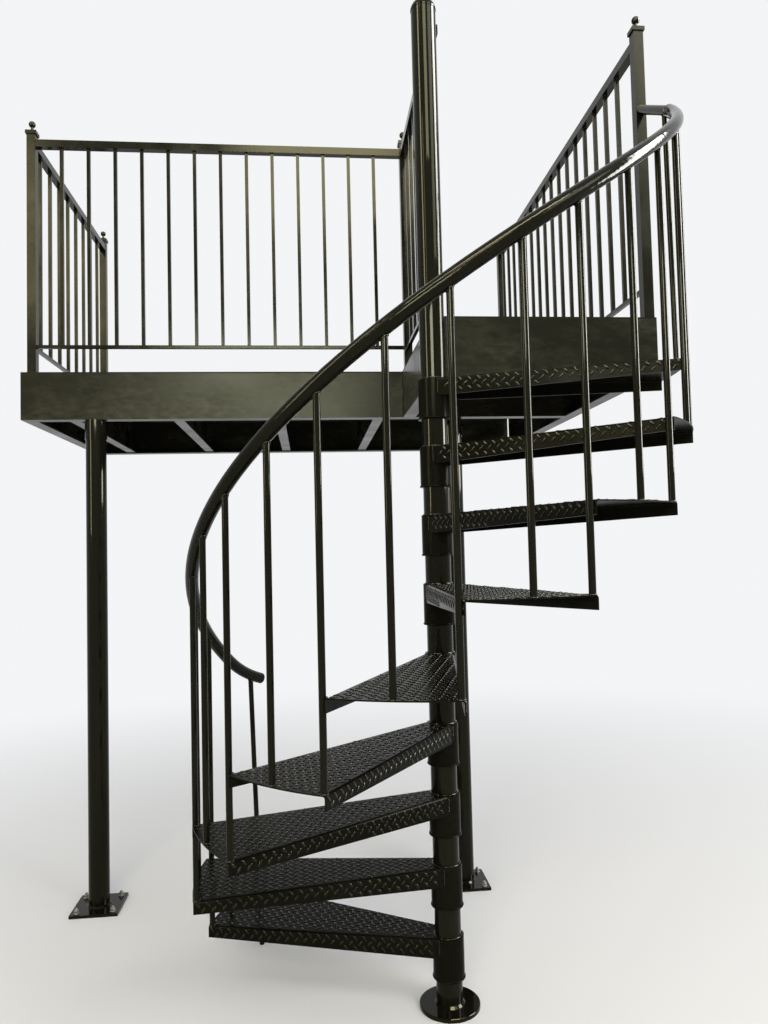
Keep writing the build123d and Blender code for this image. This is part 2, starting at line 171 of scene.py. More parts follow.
class EnamelColours(bpy.types.PropertyGroup):
    """Colours of the paint and of the zinc, and the painted tint of the enamel's reflections."""

    # partly painted reflection: black enamel, tinted olive-brown to stand in for the warm surroundings that
    # it reflects
    body: FloatVectorProperty(
        name="Enamel", description="Base colour of the enamel", subtype="COLOR", size=4,
        default=(0.0055, 0.0052, 0.0034, 1.0),
    )
    dust: FloatVectorProperty(
        name="Dust", description="Colour of dust on the enamel", subtype="COLOR", size=4,
        default=(0.070, 0.068, 0.044, 1.0),
    )
    # painted reflection: a warm olive tint laid on every reflection of the enamel, standing in for the brick
    # and greenery that it reflects
    painted_reflection_tint: FloatVectorProperty(
        name="Sheen", description="Tint of the enamel's reflections", subtype="COLOR", size=4,
        default=(1.0, 0.98, 0.66, 1.0),
    )
    zinc: FloatVectorProperty(
        name="Zinc", description="Colour of the anchor nuts", subtype="COLOR", size=4,
        default=(0.20, 0.19, 0.17, 1.0),
    )


class StageSizes(bpy.types.PropertyGroup):
    """Camera, floor and lamps."""

    eye: FloatVectorProperty(
        name="Camera", description="Place of the camera", subtype="TRANSLATION", size=3, unit="LENGTH",
        default=(-0.4464, -2.6466, 1.5481),
    )
    yaw: FloatProperty(
        name="Yaw", description="Camera's turn to the right of +Y", default=math.radians(5.6717),
        unit="ROTATION",
    )
    pitch: FloatProperty(
        name="Pitch", description="Camera's tilt upwards", default=math.radians(2.6303), unit="ROTATION"
    )
    roll: FloatProperty(
        name="Roll", description="Camera's turn about its line of sight", default=math.radians(-1.3848),
        unit="ROTATION",
    )
    focal: FloatProperty(
        name="Focal length", description="Focal length in pixels of the 768 by 1024 frame", default=771.42
    )
    floor_size: FloatProperty(name="Floor", description="Width of the floor", default=80.0, unit="LENGTH")
    floor_colour: FloatVectorProperty(
        name="Floor colour", description="Colour of the floor near the stair", subtype="COLOR", size=4,
        default=(0.88, 0.87, 0.85, 1.0),
    )
    backdrop: FloatVectorProperty(
        name="Backdrop", description="Colour of the backdrop", subtype="COLOR", size=4,
        default=(0.90, 0.91, 0.92, 1.0),
    )
    sky: FloatVectorProperty(
        name="Even light", description="Colour of the even light from all round", subtype="COLOR", size=4,
        default=(0.93, 0.95, 1.0, 1.0),
    )
    sky_strength: FloatProperty(
        name="Even strength", description="Strength of the even light from all round", default=0.6
    )
    fade_start: FloatProperty(
        name="Fade start", description="Distance at which the floor starts to take the backdrop's tone",
        default=1.2, unit="LENGTH",
    )
    fade_end: FloatProperty(
        name="Fade end", description="Distance at which the floor has the backdrop's tone", default=6.5,
        unit="LENGTH",
    )


# Helpers for modelling

# Distance within which a vertex counts as lying on the deck
TOUCH = 0.001


def start_fresh():
    """Leaves edit mode and deselects everything, so an operator acts on new pieces only."""
    if bpy.context.mode != "OBJECT":
        bpy.ops.object.mode_set(mode="OBJECT")
    bpy.ops.object.select_all(action="DESELECT")


def make_active(obj):
    """Selects one object alone, so that operators act on it."""
    start_fresh()
    obj.select_set(True)
    bpy.context.view_layer.objects.active = obj
    return obj


def new_piece(name):
    """Names the piece that an operator has just made."""
    obj = bpy.context.object
    obj.name = name
    obj.data.name = name
    return obj


def settle(obj):
    """Applies every modifier and the object's own place."""
    make_active(obj)
    for modifier in list(obj.modifiers):
        bpy.ops.object.modifier_apply(modifier=modifier.name)
    bpy.ops.object.transform_apply(location=True, rotation=True, scale=True)
    return obj


def copy_of(obj, name):
    """Copy of a piece, with a mesh of its own."""
    twin = obj.copy()
    twin.data = obj.data.copy()
    twin.name = name
    twin.data.name = name
    bpy.context.scene.collection.objects.link(twin)
    return twin


def place(obj, location=(0, 0, 0), turn=(0, 0, 0)):
    """Moves and turns a piece, and applies that to its mesh."""
    obj.location = location
    obj.rotation_euler = turn
    return settle(obj)


def join(pieces, name):
    """Makes several pieces one, at the place of the first."""
    start_fresh()
    for piece in pieces:
        piece.select_set(True)
    bpy.context.view_layer.objects.active = pieces[0]
    if len(pieces) > 1:
        bpy.ops.object.join()
    return new_piece(name)


def repeat(obj, count, step):
    """Array modifier of copies that lie one step apart."""
    copies = obj.modifiers.new("copies", "ARRAY")
    copies.use_relative_offset = False
    copies.use_constant_offset = True
    copies.constant_offset_displace = step
    copies.count = count


def smooth(obj):
    """Shades a piece smooth."""
    make_active(obj)
    bpy.ops.object.shade_smooth()
    return obj


def hand_over(obj, slot, paint=None):
    """Gives a finished piece its body and its paint, which is the slot's material unless a paint is named."""
    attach(obj, "root")
    obj.data.materials.clear()
    obj.data.materials.append(bpy.data.materials[paint or slot])
    return obj


def polar(radius, angle, height=0.0):
    """Point at this distance and bearing from the column's axis."""
    return Vector((radius * math.cos(angle), radius * math.sin(angle), height))


def turned(along, up):
    """Rotation that lays a piece's X along one direction and its Z along another, square to it."""
    return Matrix((along, up.cross(along), up)).transposed().to_euler()


def corners(mesh):
    """Places of a mesh's vertices, as rows of x, y and z."""
    places = np.zeros(len(mesh.vertices) * 3, np.float32)
    mesh.vertices.foreach_get("co", places)
    return places.reshape(-1, 3)


def node_points(node):
    """Places of a CAD node's vertices."""
    return corners(frame["nodes"][node].data)


def foot_points(post):
    """Places of a guard post's vertices at the deck, where it is narrower than its cap."""
    points = node_points(post)
    return points[points[:, 2] < DECK_TOP + TOUCH]


# Enamel

# Sockets of a Mix node that mixes colours
COLOUR_A, COLOUR_B, COLOUR_RESULT = 6, 7, 2
# Depth of the brush marks in the enamel
BRUSH_DEPTH = 0.0006
# Scale of the patches on pipes and bars, where they run down the pole, and on beams
DOWN_POLE = (1, 1, 0.1)
ALONG_BEAM = (0.4, 1, 1)
# Paints of the slots, and of what is raised on them. Film is even dust, dust the amount in patches, smooth
# and rough the ends of the roughness, relief the strength of the brush marks, gloss the specular level
ENAMELS = {
    "column_enamel": dict(dust=0.1, smooth=0.03, rough=0.09, relief=0.08, gloss=0.1, stretch=DOWN_POLE),
    "tread_enamel": dict(dust=0.1, smooth=0.18, rough=0.3, relief=0.2, gloss=0.02),
    "raised_enamel": dict(dust=0.1, smooth=0.06, rough=0.12, relief=0.1, gloss=0.19),
    "handrail_enamel": dict(dust=0.05, smooth=0.08, rough=0.16, relief=0.08, gloss=0.07),
    "bar_enamel": dict(dust=0.05, smooth=0.05, rough=0.12, relief=0.08, gloss=0.09, stretch=DOWN_POLE),
    "guard_enamel": dict(dust=0.3, smooth=0.1, rough=0.25, relief=0.12, gloss=0.14),
    "deck_enamel": dict(dust=0.2, smooth=0.4, rough=0.6, relief=0.3, gloss=0.05),
    # partly painted reflection: the beams' even film and heavy dust are real dust, and also lighten the
    # fascia in place of the sky that it reflects
    "beam_enamel": dict(
        film=0.05, dust=0.75, smooth=0.22, rough=0.36, relief=0.3, gloss=0.1, stretch=ALONG_BEAM
    ),
}


def add_node(tree, kind, place, **values):
    """Shader node with its own settings and the values of its sockets, whose names have _ for a space."""
    node = tree.nodes.new(kind)
    node.location = place
    for key, value in values.items():
        if hasattr(node, key):
            setattr(node, key, value)
        else:
            node.inputs[key.replace("_", " ")].default_value = value
    return node


def add_math(tree, operation, place, first, second):
    """Math node on a socket and either a second socket or a number. Gives the result's socket."""
    node = add_node(tree, "ShaderNodeMath", place, operation=operation)
    tree.links.new(first, node.inputs[0])
    if isinstance(second, float):
        node.inputs[1].default_value = second
    else:
        tree.links.new(second, node.inputs[1])
    return node.outputs[0]


def add_range(tree, place, value, **limits):
    """Map Range node on a value. Gives the node."""
    node = add_node(tree, "ShaderNodeMapRange", place, **limits)
    tree.links.new(value, node.inputs["Value"])
    return node


def fresh_material(name):
    """Node material of this name, in place of the plain one that the frame brings."""
    plain = bpy.data.materials.get(name)
    if plain:
        bpy.data.materials.remove(plain)
    material = bpy.data.materials.new(name)
    material.use_nodes = True
    return material


def paint_unevenness():
    """Node group: soft dust mask, roughness and height of brushed enamel, from a place on the steel."""
    group = bpy.data.node_groups.new("Enamel unevenness", "ShaderNodeTree")
    face = group.interface
    face.new_socket("Vector", in_out="INPUT", socket_type="NodeSocketVector")
    for name in ("Film", "Dust amount", "Smooth", "Rough"):
        face.new_socket(name, in_out="INPUT", socket_type="NodeSocketFloat")
    for name in ("Dust", "Roughness", "Height"):
        face.new_socket(name, in_out="OUTPUT", socket_type="NodeSocketFloat")
    entry = add_node(group, "NodeGroupInput", (-900, 0))
    leave = add_node(group, "NodeGroupOutput", (700, 0))
    cloud = add_node(group, "ShaderNodeTexNoise", (-600, 200), Scale=5.0, Detail=5.0, Roughness=0.6)
    fleck = add_node(group, "ShaderNodeTexNoise", (-600, -50), Scale=60.0, Detail=3.0, Roughness=0.6)
    peel = add_node(group, "ShaderNodeTexNoise", (-600, -300), Scale=380.0, Detail=2.0, Roughness=0.5)
    brush = add_node(group, "ShaderNodeTexNoise", (-600, -550), Scale=28.0, Detail=2.0, Roughness=0.5)
    for texture in (cloud, fleck, peel, brush):
        group.links.new(entry.outputs["Vector"], texture.inputs["Vector"])
    # dust lies where a patch and its flecks meet, over the even film
    patch = add_range(group, (-350, 200), cloud.outputs["Fac"], From_Min=0.42, From_Max=0.72)
    speck = add_range(group, (-350, -50), fleck.outputs["Fac"], From_Min=0.35, From_Max=0.8)
    both = add_math(group, "MULTIPLY", (-100, 100), patch.outputs["Result"], speck.outputs["Result"])
    dusty = add_math(group, "MULTIPLY", (120, 100), both, entry.outputs["Dust amount"])
    filmed = add_math(group, "ADD", (320, 100), dusty, entry.outputs["Film"])
    group.links.new(filmed, leave.inputs["Dust"])
    # the same patches are rougher
    gloss = add_range(group, (-100, -150), cloud.outputs["Fac"], From_Min=0.3, From_Max=0.75)
    group.links.new(entry.outputs["Smooth"], gloss.inputs["To Min"])
    group.links.new(entry.outputs["Rough"], gloss.inputs["To Max"])
    group.links.new(gloss.outputs["Result"], leave.inputs["Roughness"])
    # fine orange peel on the marks of the brush
    fine = add_math(group, "MULTIPLY", (-350, -350), peel.outputs["Fac"], 0.25)
    total = add_math(group, "ADD", (-100, -400), fine, brush.outputs["Fac"])
    group.links.new(total, leave.inputs["Height"])
    return group


def uneven_steel(name, group, colour, film, dust, smooth, rough, stretch):
    """Material of one colour under dust, with uneven roughness. Gives its nodes, shader and unevenness."""
    tree = fresh_material(name).node_tree
    shader = tree.nodes["Principled BSDF"]
    where = add_node(tree, "ShaderNodeTexCoord", (-1100, 0))
    mapping = add_node(tree, "ShaderNodeMapping", (-900, 0), Scale=stretch)
    tree.links.new(where.outputs["Object"], mapping.inputs["Vector"])
    uneven = add_node(
        tree, "ShaderNodeGroup", (-650, 0), node_tree=group,
        Film=film, Dust_amount=dust, Smooth=smooth, Rough=rough,
    )
    tree.links.new(mapping.outputs["Vector"], uneven.inputs["Vector"])
    mix = add_node(tree, "ShaderNodeMix", (-350, 150), data_type="RGBA")
    mix.inputs[COLOUR_A].default_value = colour
    mix.inputs[COLOUR_B].default_value = bpy.context.scene.enamel_colours.dust
    tree.links.new(uneven.outputs["Dust"], mix.inputs["Factor"])
    tree.links.new(mix.outputs[COLOUR_RESULT], shader.inputs["Base Color"])
    tree.links.new(uneven.outputs["Roughness"], shader.inputs["Roughness"])
    return tree, shader, uneven


def enamel(name, group, dust, smooth, rough, relief, gloss, film=0.0, stretch=(1, 1, 1)):
    """Black enamel on one kind of steel, with its brush marks and the painted tint on its reflections."""
    colours = bpy.context.scene.enamel_colours
    tree, shader, uneven = uneven_steel(name, group, colours.body, film, dust, smooth, rough, stretch)
    shader.inputs["Specular IOR Level"].default_value = gloss
    # painted reflection colour: every reflection of the enamel is tinted warm olive
    shader.inputs["Specular Tint"].default_value = colours.painted_reflection_tint
    bump = add_node(tree, "ShaderNodeBump", (-350, -200), Strength=relief, Distance=BRUSH_DEPTH)
    tree.links.new(uneven.outputs["Height"], bump.inputs["Height"])
    tree.links.new(bump.outputs["Normal"], shader.inputs["Normal"])


def zinc_steel(name, group):
    """Dulled zinc of the anchor nuts."""
    zinc = bpy.context.scene.enamel_colours.zinc
    shader = uneven_steel(name, group, zinc, film=0.1, dust=0.9, smooth=0.35, rough=0.6, stretch=(1, 1, 1))[1]
    shader.inputs["Metallic"].default_value = 0.8


class STAIR_OT_paint_steel(bpy.types.Operator):
    """Makes the enamels and paints every carried-over piece"""

    bl_idname = "stair.paint_steel"
    bl_label = "Paint the Steel"

    def execute(self, context):
        group = paint_unevenness()
        for name, finish in ENAMELS.items():
            enamel(name, group, **finish)
        zinc_steel("anchor_zinc", group)
        slots = {row["node"]: row["material_slot"] for row in frame["record"]["subparts"]}
        for node, obj in frame["nodes"].items():
            obj.data.materials.clear()
            obj.data.materials.append(bpy.data.materials[slots[node]])
        return {"FINISHED"}


# Raised lugs of the floor plate

# A lug rises in steps: share of its height, and how far its outline draws in along and across
LUG_STEPS = ((0.6, (0.92, 0.8, 1)), (0.4, (0.8, 0.4, 1)))
LUG_SIDES = 6
LUG_VERTICES = LUG_SIDES * (1 + len(LUG_STEPS))
LUG_SLANT = math.radians(45)
# Part of a flange's run, from sleeve to rim, that carries lugs
FLANGE_REACH = (0.02, 0.985)


def make_lug():
    """One lug: a low lens with pointed ends, lying along +X."""
    plate = bpy.context.scene.plate_sizes
    start_fresh()
    bpy.ops.mesh.primitive_circle_add(vertices=LUG_SIDES, radius=1.0, fill_type="NGON")
    lug = new_piece("lug")
    bpy.ops.object.mode_set(mode="EDIT")
    bpy.ops.mesh.select_all(action="SELECT")
    # turned so, the hexagon has a corner at either end and is the root of 3 wide
    bpy.ops.transform.rotate(value=math.radians(-90), orient_axis="Z", center_override=(0, 0, 0))
    bpy.ops.transform.resize(value=(plate.lug_length / 2, plate.lug_width / math.sqrt(3), 1))
    for share, taper in LUG_STEPS:
        lift = (0, 0, share * plate.lug_height)
        bpy.ops.mesh.extrude_region_move(TRANSFORM_OT_translate={"value": lift})
        bpy.ops.transform.resize(value=taper)
    bpy.ops.mesh.select_all(action="SELECT")
    bpy.ops.mesh.normals_make_consistent(inside=False)
    bpy.ops.object.mode_set(mode="OBJECT")
    return settle(lug)


def lug_field(name, width, depth):
    """Flat field of lugs, centred on the origin. Each lug's end points at the side of the next one."""
    pitch = bpy.context.scene.plate_sizes.pitch
    lug = make_lug()
    pair = [place(copy_of(lug, "lug_copy"), turn=(0, 0, LUG_SLANT))]
    pair.append(place(lug, (pitch / 2, pitch / 2, 0), (0, 0, -LUG_SLANT)))
    field = join(pair, name)
    middle = []
    for length, step in ((width, (pitch, 0, 0)), (depth, (0, pitch, 0))):
        count = max(1, math.ceil(length / pitch))
        repeat(field, count, step)
        middle.append((count - 0.5) * pitch / 2)
    settle(field)
    return place(field, (-middle[0], -middle[1], 0))


def keep_lugs(field, inside):
    """Deletes the lugs whose centre the test refuses."""
    mesh = field.data
    centres = corners(mesh).reshape(-1, LUG_VERTICES, 3).mean(axis=1)
    refused = np.array([not inside(x, y) for x, y, _ in centres])
    make_active(field)
    bpy.ops.object.mode_set(mode="EDIT")
    bpy.ops.mesh.select_mode(type="VERT")
    bpy.ops.mesh.select_all(action="DESELECT")
    bpy.ops.object.mode_set(mode="OBJECT")
    mesh.vertices.foreach_set("select", np.repeat(refused, LUG_VERTICES))
    bpy.ops.object.mode_set(mode="EDIT")
    bpy.ops.mesh.delete(type="VERT")
    bpy.ops.object.mode_set(mode="OBJECT")
    return field


def side_bearing():
    """Angle from a tread's middle to the line that is square to its side and passes through the axis."""
    stair = bpy.context.scene.stair_sizes
    return stair.turn / 2 + math.pi / 2 - math.asin(stair.side_offset / stair.radius)


def top_lugs(name):
    """Lugs on the top of a tread that lies along +X with its top at 0."""
    stair = bpy.context.scene.stair_sizes
    plate = bpy.context.scene.plate_sizes
    square = side_bearing()
    # lugs come nearer to the start of a bend than to an edge
    inset = plate.bend + 0.6 * plate.margin

    def on_top(x, y):
        x += stair.radius / 2
        reach = x * math.cos(square) + abs(y) * math.sin(square)
        rim = math.hypot(x, y)
        clear_of_sleeve = rim > stair.hub_radius + plate.margin
        return reach < stair.side_offset - inset and clear_of_sleeve and rim < stair.radius - plate.margin

    field = lug_field(name, stair.radius, 2 * stair.radius * math.sin(stair.turn / 2))
    return place(keep_lugs(field, on_top), (stair.radius / 2, 0, 0))


def flange_lugs(name, side):
    """Lugs on the flange at one side, -1 or 1, of a tread that lies along +X with its top at 0."""
    stair = bpy.context.scene.stair_sizes
    plate = bpy.context.scene.plate_sizes
    heel = math.sqrt(stair.hub_radius**2 - stair.side_offset**2)
    rim = math.sqrt(stair.radius**2 - stair.side_offset**2)
    run = rim - heel
    # lowers the rows a little, so that two of them fit at the rim
    shift = plate.pitch / 8

    def on_flange(x, y):
        share = 0.5 - side * x / run
        depth = stair.flange_at_hub + (stair.flange_at_rim - stair.flange_at_hub) * share
        below = stair.flange_at_hub / 2 + shift - y
        along = FLANGE_REACH[0] < share < FLANGE_REACH[1]
        return along and plate.bend < below < depth - plate.margin

    field = lug_field(name, run, stair.flange_at_hub)
    keep_lugs(field, on_flange)
    place(field, (0, -stair.flange_at_hub / 2 - shift, 0))
    # stands the field upright, then swings it to the side's line
    place(field, turn=(math.radians(90), 0, 0))
    if side > 0:
        place(field, turn=(0, 0, math.pi))
    outward = side * side_bearing()
    heading = outward - side * math.pi / 2
    middle = polar(stair.side_offset, outward) + polar((heel + rim) / 2, heading)
    return place(field, middle, (0, 0, heading))


def deck_lugs(node):
    """Lugs all over a deck, clear of the column where it comes through."""
    stair = bpy.context.scene.stair_sizes
    margin = bpy.context.scene.plate_sizes.margin
    low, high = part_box(node)
    middle = (low + high) / 2
    width, depth = high.x - low.x, high.y - low.y

    def on_deck(x, y):
        clear_of_pipe = math.hypot(x + middle.x, y + middle.y) > stair.pipe_radius + 1.5 * margin
        return abs(x) < width / 2 - margin and abs(y) < depth / 2 - margin and clear_of_pipe

    field = lug_field(node.replace("deck", "lugs"), width, depth)
    return place(keep_lugs(field, on_deck), (middle.x, middle.y, high.z))


class STAIR_OT_add_tread_lugs(bpy.types.Operator):
    """Adds the raised lugs of every tread"""

    bl_idname = "stair.add_tread_lugs"
    bl_label = "Add Tread Lugs"

    def execute(self, context):
        stair = context.scene.stair_sizes
        parts = [top_lugs("top_pattern"), flange_lugs("right_pattern", -1), flange_lugs("left_pattern", 1)]
        pattern = join(parts, "tread_pattern")
        for index, top in enumerate(TREAD_TOPS):
            lugs = copy_of(pattern, f"tread_lugs_{index + 1}")
            bearing = stair.first_bearing + (index + 0.5) * stair.turn
            place(lugs, (0, 0, top), (0, 0, bearing))
            hand_over(smooth(lugs), "tread_enamel", "raised_enamel")
        bpy.data.objects.remove(pattern)
        return {"FINISHED"}


class STAIR_OT_add_deck_lugs(bpy.types.Operator):
    """Adds the raised lugs of the landing and the balcony"""

    bl_idname = "stair.add_deck_lugs"
    bl_label = "Add Deck Lugs"

    def execute(self, context):
        for node in ("landing_deck", "balcony_deck"):
            hand_over(deck_lugs(node), "deck_enamel")
        return {"FINISHED"}


# Welds

# Share of a bead's radius by which its middle stands off the steel
STAND_OFF = 0.3
# Thinner beads, as shares of the thickest: at the treads' heels, the fascia and the thin pipe, at the
# bars' feet, and at the bars' heads and the guard posts
SLIM_BEAD = 0.8
FOOT_BEAD = 0.75
FINE_BEAD = 0.7
# Segments of a ring of weld round the column, a thin pipe and a bar
COLUMN_SEGMENTS = 40
PIPE_SEGMENTS = 24
BAR_SEGMENTS = 16
# A straight bead is a row of drops, this many radii apart
DROP_SPACING = 1.4
# Grain of the ripples in a weld
RIPPLE_GRAIN = 0.006
# Spots that tie a bar to the next tread: depths below its top, and their form
TIE_DEPTHS = (0.006, 0.030)
TIE_FORM = (0.8, 0.8, 1.5)
# Spots at the ends of a guard rail's bar: radius as a share of the bar's width, and their form
BAR_SPOT = 0.62
BAR_SPOT_FORM = (1, 1, 0.3)
# Height of a baluster's coped end, and the gap between it and the handrail
COPE_HEIGHT = 0.03
COPE_GAP = 0.001


def ripple(obj):
    """Roughens a smooth weld with a clouds texture."""
    clouds = bpy.data.textures.new("weld_ripple", "CLOUDS")
    clouds.noise_scale = RIPPLE_GRAIN
    clouds.noise_depth = 1
    displace = obj.modifiers.new("ripple", "DISPLACE")
    displace.texture = clouds
    displace.strength = bpy.context.scene.weld_sizes.ripple
    displace.mid_level = 0.5
    displace.texture_coords = "LOCAL"
    return settle(obj)


def weld_ring(name, radius, thickness, segments):
    """Ring of weld, lying flat round the origin."""
    start_fresh()
    bpy.ops.mesh.primitive_torus_add(
        major_radius=radius, minor_radius=thickness, major_segments=segments, minor_segments=8
    )
    return new_piece(name)


def weld_spot(name, radius, form=(1.0, 1.0, 1.0)):
    """Drop of weld, drawn out or flattened to its form."""
    start_fresh()
    bpy.ops.mesh.primitive_ico_sphere_add(subdivisions=2, radius=radius)
    spot = new_piece(name)
    bpy.ops.object.mode_set(mode="EDIT")
    bpy.ops.transform.resize(value=form)
    bpy.ops.object.mode_set(mode="OBJECT")
    return spot


def weld_row(name, start, end, radius):
    """Straight bead of weld, drop by drop from start to end."""
    run = Vector(end) - Vector(start)
    row = weld_spot(name, radius)
    count = max(2, round(run.length / (DROP_SPACING * radius)))
    repeat(row, count, run / (count - 1))
    settle(row)
    return place(row, start)


def finish_welds(pieces, name, slot):
    """Makes welds one rippled piece, and hands it over."""
    hand_over(smooth(ripple(join(pieces, name))), slot, "raised_enamel")


class STAIR_OT_add_column_welds(bpy.types.Operator):
    """Adds the weld rings on top of the sleeves, and the beads where a tread's flanges meet its sleeve"""

    bl_idname = "stair.add_column_welds"
    bl_label = "Add Column Welds"

    def execute(self, context):
        stair = context.scene.stair_sizes
        bead = context.scene.weld_sizes.bead
        # angle from a tread's middle to where its side's line meets the sleeve
        heel_angle = stair.turn / 2 - math.asin(stair.side_offset / stair.radius)
        heel_angle += math.asin(stair.side_offset / stair.hub_radius)
        rings, heels = [], []
        for index, top in enumerate(TREAD_TOPS):
            ring = weld_ring("sleeve_weld", stair.pipe_radius + 2 * STAND_OFF * bead, bead, COLUMN_SEGMENTS)
            rings.append(place(ring, (0, 0, top + STAND_OFF * bead)))
            middle = stair.first_bearing + (index + 0.5) * stair.turn
            # a heel's beads stop short of the flange's bend and lower edge
            low, high = top - stair.flange_at_hub + 4 * bead, top - 2 * bead
            for side in (-1, 1):
                at = polar(stair.hub_radius + STAND_OFF * bead, middle + side * heel_angle)
                heels.append(weld_row("heel_weld", (*at.xy, low), (*at.xy, high), SLIM_BEAD * bead))
        finish_welds(rings, "sleeve_welds", "column_enamel")
        finish_welds(heels, "heel_welds", "tread_enamel")
        return {"FINISHED"}


class STAIR_OT_add_baluster_welds(bpy.types.Operator):
    """Adds the weld rings at the feet and heads of the balusters, and the spots at their ties"""

    bl_idname = "stair.add_baluster_welds"
    bl_label = "Add Baluster Welds"

    def execute(self, context):
        stair = context.scene.stair_sizes
        weld = context.scene.weld_sizes
        rise = TREAD_TOPS[1] - TREAD_TOPS[0]
        slope = math.atan2(rise, stair.turn * stair.bar_circle)
        under_rail = Vector((0, 0, stair.rail_radius / math.cos(slope) + COPE_GAP))
        feet, heads, ties = [], [], []

        def on_rail(bearing):
            climbed = (bearing - stair.first_bearing) / stair.turn * rise
            return polar(stair.bar_circle, bearing, TREAD_TOPS[0] + stair.rail_rise + climbed)

        def add_head(at, heading, climb):
            along = polar(math.cos(climb), heading, math.sin(climb))
            up = polar(-math.sin(climb), heading, math.cos(climb))
            collar = weld_ring("head_weld", stair.bar_radius, FINE_BEAD * weld.bead, BAR_SEGMENTS)
            collar.scale = (1 / math.cos(climb), 1, 1)
            heads.append(place(collar, at, turned(along, up)))

        last = len(TREAD_TOPS) - 1
        for index, top in enumerate(TREAD_TOPS):
            nosing = stair.first_bearing + index * stair.turn
            bearings = [nosing + stair.turn / 2]
            # below the last tread, a second bar stands at the next nosing and both reach the handrail
            if index < last:
                bearings.append(nosing + stair.turn - stair.tie_offset)
            for bearing in bearings:
                foot = weld_ring("foot_weld", stair.bar_radius, FOOT_BEAD * weld.bead, BAR_SEGMENTS)
                feet.append(place(foot, polar(stair.bar_circle, bearing, top)))
                if index < last:
                    add_head(on_rail(bearing) - under_rail, bearing + math.pi / 2, slope)
            # the bar of the tread below is tied to this tread's nosing, on its inner side
            behind_bar = stair.bar_circle - 0.9 * stair.bar_radius
            between = nosing - 0.25 * stair.tie_offset
            for depth in TIE_DEPTHS:
                spot = weld_spot("tie_weld", weld.spot, TIE_FORM)
                ties.append(place(spot, polar(behind_bar, between, top - depth)))

        first_head = self.head_of("first_baluster")
        add_head(first_head, math.atan2(first_head.y, first_head.x) + math.pi / 2, stair.foot_slope)
        # the thin pipe from the handrail's end to the landing's post
        post_low, post_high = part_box("guard_post_landing")
        rail_end = on_rail(stair.head_bearing)
        post_front = float(foot_points("guard_post_landing")[:, 1].min())
        pipe_end = Vector(((post_low.x + post_high.x) / 2, post_front, DECK_TOP + stair.rail_rise))
        run = pipe_end - rail_end
        climb = math.atan2(run.z, run.xy.length)
        add_head(self.head_of("last_baluster"), math.atan2(run.y, run.x), climb)
        # a ring round either end of the thin pipe, square to the pipe at the handrail and flat on the post
        level = Vector((run.y, -run.x, 0)).normalized()
        for name, at, turn in (
            ("seam_weld", rail_end, turned(level, run.normalized())),
            ("post_weld", pipe_end, (math.radians(90), 0, 0)),
        ):
            ring = weld_ring(name, stair.pipe_tie_radius, SLIM_BEAD * weld.bead, PIPE_SEGMENTS)
            heads.append(place(ring, at, turn))
        finish_welds(feet, "baluster_foot_welds", "bar_enamel")
        finish_welds(heads, "baluster_head_welds", "bar_enamel")
        finish_welds(ties, "tie_welds", "bar_enamel")
        return {"FINISHED"}

    def head_of(self, node):
        """Middle of a bar's coped upper end."""
        points = node_points(node)
        cope = points[points[:, 2] > points[:, 2].max() - COPE_HEIGHT]
        return Vector(cope.mean(axis=0).tolist())


